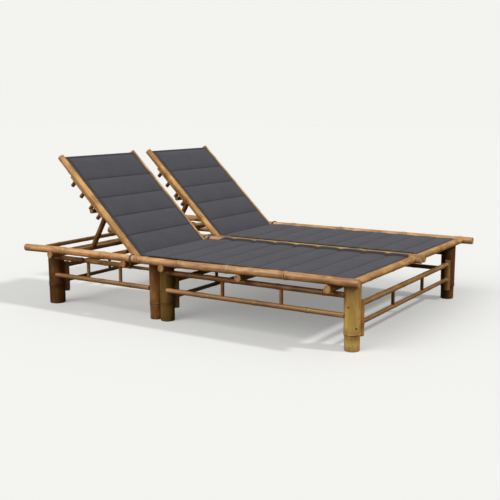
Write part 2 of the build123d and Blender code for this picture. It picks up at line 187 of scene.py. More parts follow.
def apply_transform():
    bpy.ops.object.transform_apply(location=True, rotation=True, scale=True)


def store(mesh, name, values, kind="FLOAT_VECTOR", field="vector"):
    """Keeps one value for each point of a mesh, for its material to read."""
    mesh.attributes.new(name, kind, "POINT").data.foreach_set(field, values)


def add_camera():
    across = Vector((math.cos(CAMERA_AZIMUTH), math.sin(CAMERA_AZIMUTH), 0))
    level = Vector((-math.sin(CAMERA_AZIMUTH), math.cos(CAMERA_AZIMUTH), 0))
    ahead = level * math.cos(CAMERA_PITCH) - Vector((0, 0, math.sin(CAMERA_PITCH)))
    up = across.cross(ahead)
    right = across * math.cos(CAMERA_ROLL) + up * math.sin(CAMERA_ROLL)
    top = up * math.cos(CAMERA_ROLL) - across * math.sin(CAMERA_ROLL)
    bpy.ops.object.camera_add(location=CAMERA_AT)
    camera = bpy.context.object
    camera.rotation_euler = Matrix((right, top, -ahead)).transposed().to_euler()
    camera.data.lens = LENS
    camera.data.clip_end = VIEW_REACH
    bpy.context.scene.camera = camera


add_camera()


class Look:
    """A material with its own nodes, and short ways to add and join them."""

    def __init__(self, name):
        self.material = bpy.data.materials.new(name)
        self.material.use_nodes = True
        self.nodes = self.material.node_tree.nodes
        self.links = self.material.node_tree.links
        self.shader = self.nodes["Principled BSDF"]

    def put(self, value, socket):
        """Joins or sets one socket."""
        if hasattr(value, "links"):
            self.links.new(value, socket)
        elif isinstance(value, tuple) and socket.type == "RGBA":
            socket.default_value = (*value, 1)
        else:
            socket.default_value = value

    def set(self, name, value):
        """Joins or sets one input of the shader."""
        self.put(value, self.shader.inputs[name])

    def attribute(self, name, output):
        node = self.nodes.new("ShaderNodeAttribute")
        node.attribute_name = name
        return node.outputs[output]

    def position(self):
        """Where a point lies on its piece."""
        return self.nodes.new("ShaderNodeTexCoord").outputs["Object"]

    def split(self, vector):
        node = self.nodes.new("ShaderNodeSeparateXYZ")
        self.put(vector, node.inputs[0])
        return node.outputs

    def stretched(self, vector, scale):
        node = self.nodes.new("ShaderNodeMapping")
        self.put(vector, node.inputs["Vector"])
        node.inputs["Scale"].default_value = scale
        return node.outputs["Vector"]

    def noise(self, vector, scale, detail=3, roughness=0.55):
        node = self.nodes.new("ShaderNodeTexNoise")
        self.put(vector, node.inputs["Vector"])
        node.inputs["Scale"].default_value = scale
        node.inputs["Detail"].default_value = detail
        node.inputs["Roughness"].default_value = roughness
        return node.outputs["Fac"]

    def cells(self, vector, scale):
        node = self.nodes.new("ShaderNodeTexVoronoi")
        self.put(vector, node.inputs["Vector"])
        node.inputs["Scale"].default_value = scale
        return node.outputs["Distance"]

    def span(self, value, low, high, start=0.0, end=1.0):
        """The value from low to high, spread from start to end and kept there."""
        node = self.nodes.new("ShaderNodeMapRange")
        for socket, number in zip(node.inputs, (value, low, high, start, end)):
            self.put(number, socket)
        return node.outputs["Result"]

    def mix(self, share, a, b, blend="MIX"):
        """Colour a, with that share of colour b over it."""
        node = self.nodes.new("ShaderNodeMix")
        node.data_type = "RGBA"
        node.blend_type = blend
        for socket, value in ((node.inputs[0], share), (node.inputs[6], a), (node.inputs[7], b)):
            self.put(value, socket)
        return node.outputs[2]

    def dyed(self, colour, dye):
        """The colour multiplied by a dye."""
        return self.mix(1.0, colour, dye, "MULTIPLY")

    def calculate(self, operation, a, b=0.0):
        node = self.nodes.new("ShaderNodeMath")
        node.operation = operation
        for socket, value in zip(node.inputs, (a, b)):
            self.put(value, socket)
        return node.outputs[0]

    def add(self, a, b):
        return self.calculate("ADD", a, b)

    def times(self, a, b):
        return self.calculate("MULTIPLY", a, b)

    def wave(self, value, length):
        """A sine wave, one full wave in each length."""
        return self.calculate("SINE", self.times(value, 2 * math.pi / length))

    def bump(self, height, distance, strength):
        node = self.nodes.new("ShaderNodeBump")
        node.inputs["Distance"].default_value = distance
        node.inputs["Strength"].default_value = strength
        self.put(height, node.inputs["Height"])
        self.set("Normal", node.outputs["Normal"])


# The studio: a pale floor and backdrop, a key light, a soft fill light and even light all round
BACKDROP = rgb(243, 243, 240)
FLOOR_BOUNCE = (0.065, 0.055, 0.045)
SHADE_LIFT = 0.28       # share of the floor's brightness that no shadow takes away
FLOOR_SIZE = 80
KEY_FROM = (1.0, 0.22, 1.0)
KEY_ENERGY = 1.5
KEY_WIDTH = 5
FILL_FROM = (-0.3, -0.78, 0.68)
FILL_ENERGY = 1.65
FILL_WIDTH = 50
LIGHTS_AWAY = 4
WORLD_LIGHT = 0.345


def add_floor():
    """A floor as pale as the backdrop to the camera, that throws little light back up."""
    look = Look("pale_floor")
    seen = look.nodes.new("ShaderNodeLightPath").outputs["Is Camera Ray"]
    lit = tuple(channel * (1 - SHADE_LIFT) for channel in BACKDROP)
    look.set("Base Color", look.mix(seen, FLOOR_BOUNCE, lit))
    look.set("Emission Color", BACKDROP)
    look.set("Emission Strength", look.times(seen, SHADE_LIFT))
    look.set("Roughness", 1)
    look.set("Specular IOR Level", 0)
    deselect()
    bpy.ops.mesh.primitive_plane_add(size=FLOOR_SIZE, location=(0, 0, 0))
    floor = bpy.context.object
    floor.name = "floor"
    floor.data.materials.append(look.material)


def add_sun(name, comes_from, energy, width):
    bpy.ops.object.light_add(type="SUN", location=Vector(comes_from) * LIGHTS_AWAY)
    sun = bpy.context.object
    sun.name = name
    sun.data.energy = energy
    sun.data.angle = math.radians(width)
    sun.rotation_euler = (-Vector(comes_from)).to_track_quat("-Z", "Y").to_euler()


def add_world():
    """Even white light all round, shown to the camera as the pale backdrop."""
    world = bpy.data.worlds.new("studio")
    bpy.context.scene.world = world
    world.use_nodes = True
    nodes, links = world.node_tree.nodes, world.node_tree.links
    lit = nodes["Background"]
    lit.inputs["Color"].default_value = (1, 1, 1, 1)
    lit.inputs["Strength"].default_value = WORLD_LIGHT
    shown = nodes.new("ShaderNodeBackground")
    shown.inputs["Color"].default_value = (*BACKDROP, 1)
    rays = nodes.new("ShaderNodeLightPath")
    choice = nodes.new("ShaderNodeMixShader")
    links.new(rays.outputs["Is Camera Ray"], choice.inputs[0])
    links.new(lit.outputs[0], choice.inputs[1])
    links.new(shown.outputs[0], choice.inputs[2])
    links.new(choice.outputs[0], nodes["World Output"].inputs["Surface"])


add_floor()
add_sun("key_light", KEY_FROM, KEY_ENERGY, KEY_WIDTH)
add_sun("soft_fill_light", FILL_FROM, FILL_ENERGY, FILL_WIDTH)
add_world()
bpy.context.scene.view_settings.view_transform = "Standard"

# Spacing of the threads, the stitches and the twist of the cords
THREAD = 0.0016
STITCH = 0.0045
TWIST = 0.0022


def bamboo_look():
    """Varnished bamboo: fibres, mottling, pale rings with a dark line at the nodes, stains and specks."""
    look = Look("bamboo_skin")
    tint = look.attribute("tint", "Color")
    grain = look.attribute("grain", "Vector")
    node_gap, end_gap, green = look.split(look.attribute("marks", "Vector"))

    def drawn_out(share, scale, detail=3, roughness=0.55):
        """Noise drawn out along the culm."""
        return look.noise(look.stretched(grain, (1, 1, share)), scale, detail, roughness)

    fibres = drawn_out(0.02, 900, 4, 0.6)
    streaks = drawn_out(0.06, 130)
    mottling = drawn_out(0.35, 34, 4, 0.6)
    clouds = drawn_out(0.5, 11)
    patches = drawn_out(0.22, 42, 3, 0.6)
    blots = drawn_out(0.3, 22, 4, 0.7)
    specks = look.cells(look.stretched(grain, (1, 1, 0.45)), 60)
    olive = look.times(green, look.span(patches, 0.40, 0.58, 0.25, 1.1))
    pale_streaks = look.times(green, look.span(streaks, 0.5, 0.64))
    stain = look.times(look.span(node_gap, 0.25, 1.0, 1, 0), look.span(mottling, 0.42, 0.62))
    ring = look.times(look.span(node_gap, 0.10, 0.24, 0.6, 0), look.span(mottling, 0.3, 0.6, 1.0, 0.4))

    colour = look.mix(look.span(clouds, 0.38, 0.66), look.dyed(tint, (0.70, 0.60, 0.48)), tint)
    layers = (
        (look.span(mottling, 0.48, 0.64, 0, 0.85), tint, (1.3, 1.28, 1.22)),
        (look.span(streaks, 0.52, 0.72, 0, 0.6), None, (0.58, 0.48, 0.36)),
        (look.span(fibres, 0.35, 0.7, 0, 0.4), None, (0.66, 0.58, 0.48)),
        (olive, tint, (0.72, 0.82, 0.56)),
        (pale_streaks, tint, (1.1, 1.02, 0.92)),
        (look.times(stain, 0.85), None, (0.40, 0.28, 0.18)),
        (look.span(blots, 0.55, 0.66, 0, 0.6), None, (0.50, 0.36, 0.24)),
        (ring, tint, (1.35, 1.35, 1.3)),
    )
    for share, base, dye in layers:
        colour = look.mix(share, colour, look.dyed(colour if base is None else base, dye))
    colour = look.mix(look.span(node_gap, 0.02, 0.06, 0.9, 0), colour, rgb(72, 42, 20))
    colour = look.mix(look.span(specks, 0.0, 0.10, 0.8, 0), colour, rgb(70, 42, 20))
    colour = look.mix(look.span(end_gap, 0, 1, 0.5, 0), colour, look.dyed(colour, (0.5, 0.36, 0.24)))
    look.set("Base Color", colour)
    look.set("Roughness", look.span(mottling, 0.3, 0.75, 0.3, 0.46))
    look.set("Specular IOR Level", 0.55)
    look.bump(look.add(fibres, look.times(streaks, 1.5)), 0.0003, 0.6)
    return look.material


def cut_look():
    """A sawn end: pale wood with dark fibre dots and darker patches."""
    look = Look("bamboo_cut")
    grain = look.attribute("grain", "Vector")
    tint = look.attribute("tint", "Color")
    dots = look.span(look.cells(grain, 700), 0.1, 0.4, 0.5, 0)
    patches = look.noise(grain, 90)
    pale = look.mix(0.55, tint, rgb(214, 170, 112))
    colour = look.mix(look.span(patches, 0.4, 0.7, 0, 0.6), pale, look.dyed(pale, rgb(180, 130, 85)))
    look.set("Base Color", look.mix(dots, colour, rgb(108, 70, 36)))
    look.set("Roughness", 0.75)
    look.bump(patches, 0.0006, 0.7)
    return look.material


def fabric_look():
    """The dark woven cover: crossing threads, faint slubs and a stitched line beside each seam, with painted
    shade in the seam creases and on the sloping border strip.
    """
    look = Look("pad_cover")
    flat = look.attribute("flat", "Vector")
    along, across, _ = look.split(flat)
    gap, run, border_shade = look.split(look.attribute("seam", "Vector"))
    weave = look.times(look.wave(along, THREAD), look.wave(across, THREAD))
    slubs = look.noise(look.stretched(flat, (1, 0.12, 1)), 420)
    clouds = look.noise(flat, 9)
    colour = look.mix(look.span(slubs, 0.3, 0.75), rgb(73, 72, 77), rgb(85, 84, 90))
    colour = look.mix(look.span(weave, -1, 1, 0.3, 0), colour, rgb(62, 61, 66))
    colour = look.mix(look.span(clouds, 0.3, 0.7, 0, 0.25), colour, rgb(96, 95, 102))
    # painted shade on the border strip, which slopes down from the pad
    colour = look.mix(look.times(border_shade, 0.45), colour, rgb(60, 59, 64))
    # painted shade in the crease along each seam
    colour = look.mix(look.span(gap, 0.001, 0.006, 0.8, 0), colour, rgb(44, 43, 47))
    look.set("Base Color", colour)
    look.set("Roughness", 0.88)
    look.set("Sheen Weight", 0.04)
    look.set("Sheen Roughness", 0.5)
    ply = look.span(look.wave(run, STITCH), -0.2, 0.2)
    stitch = look.times(look.span(gap, 0.0022, 0.0028, 1, 0), ply)
    hollow = look.span(gap, 0.0, 0.006, -6, 0)
    height = look.add(look.add(weave, slubs), look.add(look.times(stitch, 1.5), hollow))
    look.bump(height, 0.0004, 0.6)
    return look.material


def tie_look():
    """A thin dark cord of twisted threads."""
    look = Look("tie_cord")
    position = look.position()
    x, y, z = look.split(position)
    twist = look.wave(look.add(x, look.add(y, z)), TWIST)
    fuzz = look.span(look.noise(position, 900), 0.3, 0.7, 0, 0.4)
    colour = look.mix(look.span(twist, -1, 1), rgb(62, 61, 65), rgb(98, 96, 100))
    look.set("Base Color", look.mix(fuzz, colour, rgb(120, 118, 122)))
    look.set("Roughness", 0.8)
    look.bump(twist, 0.0004, 0.7)
    return look.material


def steel_look():
    look = Look("pin_steel")
    marks = look.noise(look.stretched(look.position(), (1, 0.05, 1)), 900)
    look.set("Base Color", look.mix(look.span(marks, 0.3, 0.7), (0.42, 0.42, 0.43), (0.6, 0.6, 0.61)))
    look.set("Roughness", look.span(marks, 0.3, 0.7, 0.28, 0.45))
    look.set("Metallic", 1)
    return look.material


def nail_look():
    look = Look("nail_rust")
    rust = look.span(look.noise(look.position(), 700), 0.35, 0.65)
    look.set("Base Color", look.mix(rust, rgb(34, 26, 20), rgb(66, 44, 28)))
    look.set("Roughness", 0.8)
    return look.material


SKIN = bamboo_look()
CUT = cut_look()
FABRIC = fabric_look()
STEEL = steel_look()
TIE = tie_look()
NAIL = nail_look()

# Colours of the culms
HONEY = rgb(222, 172, 100)
PINK_TAN = rgb(216, 166, 112)
TAN = rgb(190, 144, 84)
BROWN = rgb(160, 112, 56)
DARK_BROWN = rgb(128, 86, 38)
RED_BROWN = rgb(186, 118, 58)
STRAW = rgb(212, 166, 100)
OLIVE = rgb(224, 184, 112)
DEEP_OLIVE = rgb(146, 114, 54)

# Outline of a node: distance from it, and share of its rise
THICK_NODE = (
    (-0.040, 0), (-0.012, 0.12), (-0.005, 0.75), (-0.0015, 1), (0, 0.3),
    (0.0018, 0.9), (0.007, 0.6), (0.016, 0.1), (0.040, 0),
)
THIN_NODE = ((-0.020, 0), (-0.004, 0.6), (-0.001, 1), (0.0006, 0.2), (0.0022, 0.85), (0.006, 0.3), (0.020, 0))
THICK_FROM = 0.012      # radius above which a culm has thick nodes
RISE_SHARE = 0.09       # rise of a node as a share of the radius, where none is given
MARK_REACH = 0.04       # distance from a node at which its mark fades out
END_ROOM = 0.002        # least distance of a ring from the ends
RING_ROOM = 0.0008      # and from the ring before it
END_DEPTH = 0.003       # depth within which a face square to the culm counts as its end
BROWN_REACH = 0.03      # length of the darkened stretch at a sawn end
SMOOTH_UNDER = math.radians(50)

# A sawn end, in shares of its radius
WORN_EDGE = 0.07
WORN_HEIGHT = 0.05
FLAT_RIM = 0.22
DIP_SIDE = 0.06
DIP = 0.09


def culm_rings(length, radius, nodes, rise, foot_scale, step):
    """Distance, radius and node mark of each ring of a culm, from one end to the other."""
    shape = THICK_NODE if radius > THICK_FROM else THIN_NODE
    rings = []
    for node in nodes:
        for gap, share in shape:
            if END_ROOM < node + gap < length - END_ROOM:
                rings.append((node + gap, radius + rise * share, min(abs(gap) / MARK_REACH, 1)))
    rings.sort()
    kept = [(0, radius, 1)]
    for ring in rings:
        if ring[0] - kept[-1][0] > RING_ROOM:
            kept.append(ring)
    if length - kept[-1][0] < END_ROOM:
        kept.pop()
    kept.append((length, radius, 1))
    scaled = []
    for at, wide, mark in kept:
        taper = foot_scale + (1 - foot_scale) * at / length
        below = step if nodes and at < nodes[0] else 1
        scaled.append((at, wide * taper * below, mark))
    return scaled


def sawn_face(obj, at, outward, radius):
    """Turns a plain end face into a sawn one: a small worn edge and a slightly sunken middle."""
    edit_faces(obj)
    bpy.ops.mesh.select_all(action="DESELECT")
    leave_edit()
    for face in obj.data.polygons:
        face.select = abs(face.center.z - at) < 1e-5 and abs(face.normal.z) > 0.99
    edit_faces(obj)
    bpy.ops.mesh.inset(thickness=radius * WORN_EDGE)
    bpy.ops.transform.translate(value=(0, 0, outward * radius * WORN_HEIGHT))
    bpy.ops.mesh.inset(thickness=radius * FLAT_RIM)
    bpy.ops.mesh.inset(thickness=radius * DIP_SIDE)
    bpy.ops.transform.translate(value=(0, 0, -outward * radius * DIP))
    leave_edit()


def culm(name, start, end, radius, tint, nodes=(), rise=None, sides=20, green=0.0, foot_scale=1.0,
         sawn=(False, False), step=1.0):
    """One bamboo pole from start to end, turned ring by ring, with a ridge at each node."""
    start, end = Vector(start), Vector(end)
    length = (end - start).length
    if rise is None:
        rise = radius * RISE_SHARE
    rings = culm_rings(length, radius, nodes, rise, foot_scale, step)
    deselect()
    bpy.ops.mesh.primitive_circle_add(vertices=sides, radius=rings[0][1], fill_type="NGON",
                                      location=(0, 0, 0))
    piece = bpy.context.object
    edit_faces(piece)
    bpy.ops.mesh.select_all(action="SELECT")
    for before, after in zip(rings, rings[1:]):
        bpy.ops.mesh.extrude_region_move(TRANSFORM_OT_translate={"value": (0, 0, after[0] - before[0])})
        grow = after[1] / before[1]
        bpy.ops.transform.resize(value=(grow, grow, 1), center_override=(0, 0, after[0]))
    bpy.ops.mesh.select_all(action="SELECT")
    bpy.ops.mesh.normals_make_consistent(inside=False)
    leave_edit()
    if sawn[0]:
        sawn_face(piece, 0, -1, rings[0][1])
    if sawn[1]:
        sawn_face(piece, length, 1, rings[-1][1])
    for face in piece.data.polygons:
        near_end = face.center.z < END_DEPTH or face.center.z > length - END_DEPTH
        if abs(face.normal.z) > 0.9 and near_end:
            face.material_index = 1
    paint_culm(piece, name, rings, tint, green, sawn, length)
    turned = (end - start).to_track_quat("Z", "X").to_matrix().to_4x4()
    piece.matrix_world = Matrix.Translation(start) @ turned
    apply_transform()
    piece.name = name
    piece.data.materials.append(SKIN)
    piece.data.materials.append(CUT)
    bpy.ops.object.shade_smooth_by_angle(angle=SMOOTH_UNDER)
    return piece


def paint_culm(piece, name, rings, tint, green, sawn, length):
    """Stores where each point lies on its culm, for the material to read."""
    dice = random.Random(name)
    dice.random()           # the first draw is passed over, which keeps the later ones as they are
    offset = Vector([dice.uniform(-5, 5) for _ in range(3)])
    shade = dice.uniform(0.88, 1.1)
    marks, grain = [], []
    for vertex in piece.data.vertices:
        z = min(max(vertex.co.z, 0), length)
        mark = min(rings, key=lambda ring: abs(ring[0] - z))[2]
        start_gap = z / BROWN_REACH if sawn[0] else 1
        end_gap = (length - z) / BROWN_REACH if sawn[1] else 1
        marks += [mark, min(start_gap, end_gap, 1), green]
        grain += list(vertex.co + offset)
    store(piece.data, "marks", marks)
    store(piece.data, "grain", grain)
    colours = [*(channel * shade for channel in tint), 1] * len(piece.data.vertices)
    store(piece.data, "tint", colours, "FLOAT_COLOR", "color")


def spread(name, length, spacing):
    """Places of the nodes of a culm whose nodes the photograph does not show."""
    dice = random.Random("nodes of " + name)
    places = []
    at = spacing * dice.uniform(0.3, 0.8)
    while at < length - 0.02:
        places.append(at)
        at += spacing * dice.uniform(0.88, 1.12)
    return places


def join(pieces, name):
    deselect()
    for piece in pieces:
        piece.select_set(True)
    bpy.context.view_layer.objects.active = pieces[0]
    bpy.ops.object.join()
    joined = bpy.context.object
    joined.name = name
    return joined


def place(piece, body, slot, *nodes):
    """Gives a piece its body, and hides the CAD nodes that it stands for, if any. The slot is not used."""
    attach(piece, body)
    if nodes:
        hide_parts(*nodes)


# Long rails: how far across, foot end, colour, and nodes in shares of the length from the head end
RAILS = {
    "near": (-RAIL_Y, 0.962, PINK_TAN, (0.142, 0.281, 0.40, 0.523, 0.662, 0.821)),
    "centre_near": (-CENTRE_Y, 0.978, PINK_TAN, (0.12, 0.33, 0.55, 0.76, 0.955)),
    "centre_far": (CENTRE_Y, 0.978, HONEY, (0.2, 0.4, 0.61, 0.83)),
    "far": (RAIL_Y, 1.0, PINK_TAN, (0.08, 0.27, 0.44, 0.6, 0.8, 0.965)),
}
THICK_RISE = 0.0022     # rise of the nodes of long rails and legs
POLE_RISE = 0.0012      # and of foot rails and backrest poles
BEAM_RISE = 0.0002      # and of the beams
BEAM_SPACING = 0.3      # distance between the nodes of a beam
FOOT_RAIL_NODES = {"near": (0.251, 0.50), "far": (0.287, 0.53)}

# The near rail hangs lower and is paler towards the head; the paler colour is painted light. Each fall: how
# far, from where, over what length
FALLS = ((0.009, 0.80, 0.9), (0.005, -0.8, 0.2))
# Painted light on the near rail's head end: how much paler, from where, and over what length
HEAD_PAINTED_LIGHT = 0.45
HEAD_PAINTED_LIGHT_FROM = -0.1
HEAD_PAINTED_LIGHT_OVER = 0.5


def droop(x):
    """How far the bent rail of the near side hangs below a straight one."""
    return sum(fall * smooth((start - x) / run) for fall, start, run in FALLS)


def bend_near_rail_and_paint_light(piece, tint):
    for vertex, colour in zip(piece.data.vertices, piece.data.attributes["tint"].data):
        # pale: painted light, the rail's colour made paler towards the head end
        pale = 1 + HEAD_PAINTED_LIGHT * smooth((HEAD_PAINTED_LIGHT_FROM - vertex.co.x) / HEAD_PAINTED_LIGHT_OVER)
        colour.color = [channel * pale for channel in tint] + [1]
        vertex.co.z -= droop(vertex.co.x)


def short_rail(kind, side, x, z, radius, tint, nodes, **form):
    """A short pole butted between an outer and a middle rail."""
    sign = SIDES[side]
    ends = crosswise(x, z, sign * (CENTRE_Y + BUTT), sign * (RAIL_Y - BUTT))
    return culm(f"culm_{kind}_{side}", *ends, radius, tint, nodes, **form)


def make_rails():
    for name, (y, foot_end, tint, shares) in RAILS.items():
        length = foot_end - HEAD_END
        rail = culm("culm_rail_" + name, *lengthwise(y, RAIL_Z, HEAD_END, foot_end), RAIL_R - UNDER, tint,
                    [share * length for share in shares], rise=THICK_RISE, sides=28, sawn=(True, True))
        if name == "near":
            bend_near_rail_and_paint_light(rail, tint)
        place(rail, "base", "bamboo_rail", "rail_" + name)
    for side in SIDES:
        foot = short_rail("foot_rail", side, FOOT_RAIL_X, RAIL_Z, FOOT_RAIL_R, HONEY,
                          FOOT_RAIL_NODES[side], rise=POLE_RISE, sides=24)
        place(foot, "base", "bamboo_rail", "foot_rail_" + side)
        head = short_rail("head_rail", side, HEAD_RAIL_X, RAIL_Z, HEAD_RAIL_R, STRAW,
                          (0.12, 0.33, 0.55), sides=18)
        place(head, "base", "bamboo_bar", "head_rail_" + side)
        axle = short_rail("axle", side, AXLE_X, AXLE_Z, AXLE_R, HONEY, (0.09, 0.3, 0.52))
        place(axle, "base", "bamboo_bar", *(["strut_axles"] if side == "far" else []))


def make_beams():
    tints = (STRAW, RED_BROWN, TAN, TAN, HONEY)
    for index, (x, tint) in enumerate(zip(BEAM_X, tints), start=1):
        beam = culm(f"culm_beam_{index}", *crosswise(x, BEAM_Z, -BEAM_END, BEAM_END), BEAM_R - UNDER, tint,
                    spread(f"beam {index}", 2 * BEAM_END, BEAM_SPACING), rise=BEAM_RISE, sides=24,
                    sawn=(True, True))
        place(beam, "base", "bamboo_bar", f"cross_beam_{index}")


# Legs: place along the bed, radius, distance of the node from the foot, colour, green, and share of the
# radius that is left below the node
LEGS = {
    "head": (-0.864, 0.043, 0.103, DARK_BROWN, 0.0, 1.0),
    "twin": (-0.1793, 0.033, 0.074, BROWN, 0.0, 0.98),
    "mid": (-0.109, 0.037, 0.101, DEEP_OLIVE, 0.55, 0.99),
    "foot": (0.895, 0.038, 0.070, OLIVE, 0.75, 0.93),
}
LEG_START = 0.05        # height of a leg's lower ring as a share of its radius, room for its worn edge
LEG_TAPER = 0.97
FAR_GREEN = 0.15        # share of the green that the far legs keep
STRIPE_TOWARDS = math.atan2(-0.94, 0.2)
NODE_BARE = 0.012       # distance from a leg's node within which the green fades
NODE_GREEN = 0.15

# Nails of a leg: which way each faces, as an angle, and its height
NAILS = {
    "head": ((1.95, 0.157), (1.60, 0.140)),
    "mid": ((1.9, 0.150),),
    "foot": ((1.62, 0.197), (0.62, 0.105)),
}
NAIL_HEAD_R = 0.0042
NAIL_TIP_R = 0.0026
NAIL_DEPTH = 0.0016
NAIL_OUT = 0.0001


def stripe_leg(leg, x, y, node):
    """Keeps the green of a leg mostly to one side of it, and off its node."""
    for vertex, mark in zip(leg.data.vertices, leg.data.attributes["marks"].data):
        turn = math.atan2(vertex.co.y - y, vertex.co.x - x) - STRIPE_TOWARDS
        mark.vector.z *= smooth(0.2 + 0.8 * math.cos(turn))
        if abs(vertex.co.z - node) < NODE_BARE:
            mark.vector.z *= NODE_GREEN


def nail_leg(leg, x, y, z, turn, radius):
    """A nail head on the face of a leg, joined to it."""
    deselect()
    out = Vector((math.cos(turn), math.sin(turn), 0))
    bpy.ops.mesh.primitive_cone_add(vertices=12, radius1=NAIL_HEAD_R, radius2=NAIL_TIP_R, depth=NAIL_DEPTH,
                                    location=Vector((x, y, z)) + out * (radius + NAIL_OUT))
    nail = bpy.context.object
    nail.rotation_euler = out.to_track_quat("Z", "X").to_euler()
    apply_transform()
    nail.data.materials.append(NAIL)
    return join([leg, nail], leg.name)


def make_legs():
    for side, sign in SIDES.items():
        for name, (x, radius, node, tint, green, step) in LEGS.items():
            y = sign * LEG_Y
            if side == "far":
                tint, green = DARK_BROWN, green * FAR_GREEN
            leg = culm(f"culm_leg_{name}_{side}", *upright(x, y, LEG_START * radius, LEG_TOP),
                       radius - UNDER_MORE, tint, (node,), rise=THICK_RISE, sides=36, green=green,
                       foot_scale=LEG_TAPER, sawn=(True, True), step=step)
            stripe_leg(leg, x, y, node)
            for turn, z in NAILS.get(name, ()):
                leg = nail_leg(leg, x, y, z, sign * turn, radius)
            place(leg, "base", "bamboo_leg", f"leg_{name}_{side}")


# Side bars: from, to, height, radius, colour, nodes from the head end, and which ends are sawn
HEAD_UPPER_BARS = (
    (-0.850, -0.642, HEAD_UPPER_Z, UPPER_BAR_R, TAN, (0.198,), (False, True)),
    (-0.618, -0.316, HEAD_UPPER_Z, UPPER_BAR_R, HONEY, (0.13,), (True, False)),
    (-0.306, -0.190, THIN_BAR_Z, THIN_BAR_R, TAN, (0.05,)),
)
SIDE_BARS = {
    "head_lower": (-0.840, -0.200, LOWER_BAR_Z, LOWER_BAR_R, TAN, (0.11, 0.33, 0.52)),
    "foot_upper": (-0.090, 0.870, UPPER_BAR_Z, UPPER_BAR_R, BROWN, (0.14, 0.39, 0.63, 0.86)),
    "foot_lower": (-0.090, 0.870, LOWER_BAR_Z, LOWER_BAR_R, TAN, (0.213, 0.506, 0.78)),
}
SIDE_BAR_RISE = 0.12    # rise of a side bar's nodes as a share of its radius
SPINDLE_SUNK = 0.008    # how far a spindle's ends run into the bars


def side_bar(name, side, x_from, x_to, z, radius, tint, nodes, sawn=(False, False)):
    ends = lengthwise(SIDES[side] * SIDE_BAR_Y, z, x_from, x_to)
    return culm(f"culm_{name}_{side}", *ends, radius, tint, nodes, rise=radius * SIDE_BAR_RISE,
                sawn=sawn)


def make_side_bars():
    for side, sign in SIDES.items():
        pieces = [side_bar(f"head_upper_{index}", side, *form)
                  for index, form in enumerate(HEAD_UPPER_BARS, start=1)]
        place(join(pieces, f"culm_head_upper_bars_{side}"), "base", "bamboo_bar",
              "side_bar_head_upper_" + side)
        for name, form in SIDE_BARS.items():
            place(side_bar(name, side, *form), "base", "bamboo_bar", f"side_bar_{name}_{side}")
        spindles = []
        for index, x in enumerate(SIDE_SPINDLE_X, start=1):
            top = HEAD_UPPER_Z if x < 0 else UPPER_BAR_Z
            ends = upright(x, sign * SIDE_BAR_Y, LOWER_BAR_Z + SPINDLE_SUNK, top - SPINDLE_SUNK)
            spindles.append(culm(f"culm_spindle_{side}_{index}", *ends, SIDE_SPINDLE_R,
                                 RED_BROWN if index == 3 else TAN, sides=16))
        place(join(spindles, f"culm_side_spindles_{side}"), "base", "bamboo_bar", "side_spindles_" + side)


# Bars of a ladder: height, radius, spacing of the nodes, and sides
LADDER_BARS = {
    "upper": (LADDER_UPPER_Z, LADDER_UPPER_R, 0.27, 20),
    "lower": (LADDER_LOWER_Z, LADDER_LOWER_R, 0.23, 18),
}
POST_ROOM = 0.0003      # between a post and its leg
RUNG_FOOT = 0.007       # how far above the lower bar's centre a rung starts
RUNG_TOP = 0.009        # and below the upper bar's centre it ends


def ladder_place(name):
    """How far along and across the bed the posts of a ladder stand."""
    x, radius = LEGS[name][:2]
    inward = math.sqrt((radius + POST_R + POST_ROOM) ** 2 - LADDER_FORWARD ** 2)
    return x + LADDER_FORWARD, LEG_Y - inward


def make_ladders():
    posts, rungs = [], []
    for name in ("head", "mid", "foot"):
        x, y = ladder_place(name)
        for side, sign in SIDES.items():
            posts.append(culm(f"culm_post_{name}_{side}", *upright(x, sign * y, POST_FOOT_Z, POST_TOP_Z),
                              POST_R - UNDER, STRAW, (0.055,), sides=22, green=0.35, sawn=(True, True)))
        reach = y - BUTT
        for kind, (z, radius, spacing, sides) in LADDER_BARS.items():
            bar = culm(f"culm_ladder_{name}_{kind}", *crosswise(x, z, -reach, reach), radius, TAN,
                       spread(f"{name} {kind}", 2 * reach, spacing), sides=sides)
            place(bar, "base", "bamboo_bar", f"ladder_{name}_{kind}_bar")
        for index, y_rung in enumerate(LADDER_SPINDLE_Y, start=1):
            ends = upright(x, y_rung, LADDER_LOWER_Z + RUNG_FOOT, LADDER_UPPER_Z - RUNG_TOP)
            rungs.append(culm(f"culm_rung_{name}_{index}", *ends, LADDER_SPINDLE_R, DARK_BROWN, sides=16))
    place(join(posts, "culm_ladder_posts"), "base", "bamboo_bar", "ladder_posts")
    place(join(rungs, "culm_ladder_spindles"), "base", "bamboo_bar", "ladder_spindles")


# Canes: the ends of a seat cane, the rise of the nodes, and over what length and how far apart they are
SEAT_CANE_FROM = -0.312
SEAT_CANE_TO = 0.9207
CANE_RISE = 0.0003
SEAT_CANE_SPREAD = (1.23, 0.24)
BACK_CANE_SPREAD = (0.54, 0.22)
FIRST_BACK_CANE = 0.060
BACK_CANE_STEP = 0.065


def make_seat_canes():
    for side, sign in SIDES.items():
        canes = []
        for index in range(CANES):
            y = sign * (BAY_Y - CANE_REACH + index * 2 * CANE_REACH / (CANES - 1))
            name = f"culm_seat_cane_{side}_{index}"
            canes.append(culm(name, *lengthwise(y, CANE_Z, SEAT_CANE_FROM, SEAT_CANE_TO), CANE_R - UNDER_MORE,
                              STRAW, spread(name, *SEAT_CANE_SPREAD), rise=CANE_RISE, sides=14,
                              sawn=(True, False)))
        place(join(canes, f"culm_seat_canes_{side}"), "base", "bamboo_cane", "seat_canes_" + side)


# Backrest poles: how far across, and nodes from the lower end
BACK_POLES = {
    "outer": (OUTER_POLE_Y, (0.14, 0.387, 0.60)),
    "inner": (INNER_POLE_Y, (0.05, 0.176, 0.321, 0.512)),
}
PEG_BELOW = 0.001       # how far below the rack's centre a peg starts
STRUT_TOP_GAP = 0.006   # from the strut bar's centre to the top of a strut leg
STRUT_FOOT_GAP = 0.016  # and from its foot to the axle's centre


